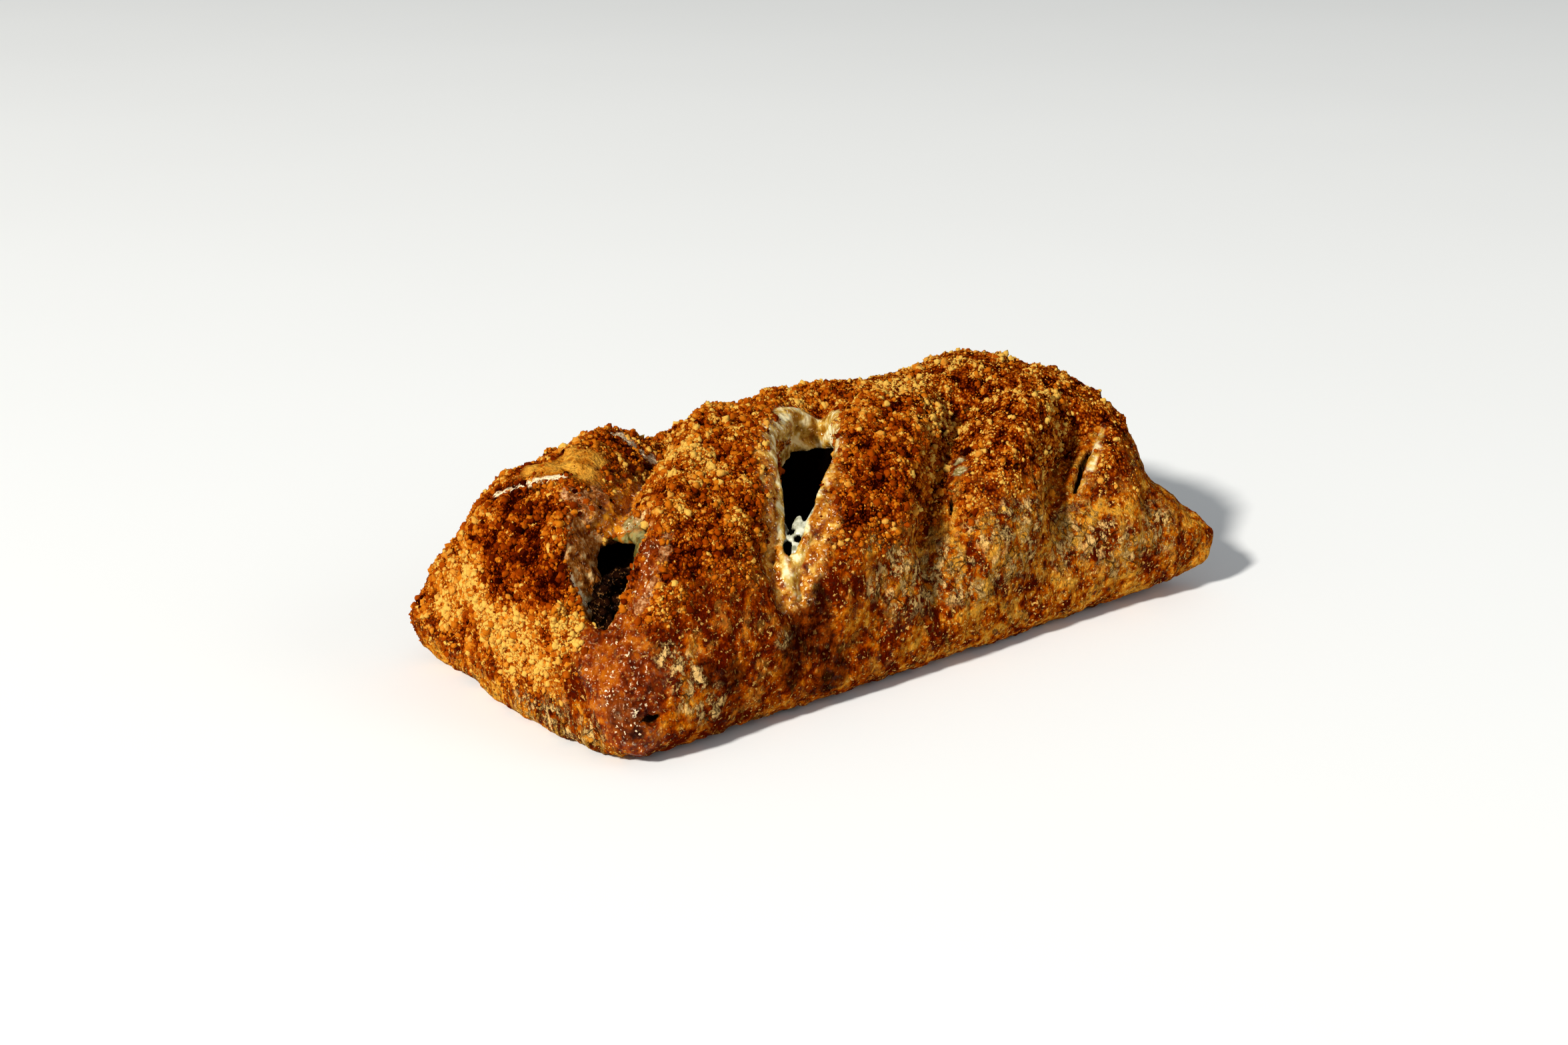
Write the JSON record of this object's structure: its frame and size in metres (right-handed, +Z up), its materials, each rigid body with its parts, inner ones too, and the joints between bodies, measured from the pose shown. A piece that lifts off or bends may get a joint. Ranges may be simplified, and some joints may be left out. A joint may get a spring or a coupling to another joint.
{
  "type": "pastry roll",
  "caption": "Baked puff pastry roll with pinched corners, diagonal slashes that show a dark filling and melted cheese, and a toasted crumb topping.",
  "frame": {"origin": "middle of the base, on the surface that the roll lies on", "axes": "+X along the roll towards its tall right end, -Y the front long side, +Z up"},
  "size_m": [0.2, 0.1, 0.0609],
  "materials": {
    "crust": "baked flaky dough, toasted brown with crumbs, glossy where egg wash and fat have pooled",
    "filling": "dark moist minced filling",
    "cheese": "melted cheese, glossy and pale"
  },
  "bodies": {
    "root": {"pastry_case": "crust", "filling": "filling", "cheese_strip": "cheese", "cheese_web": "cheese"}
  },
  "joints": []
}
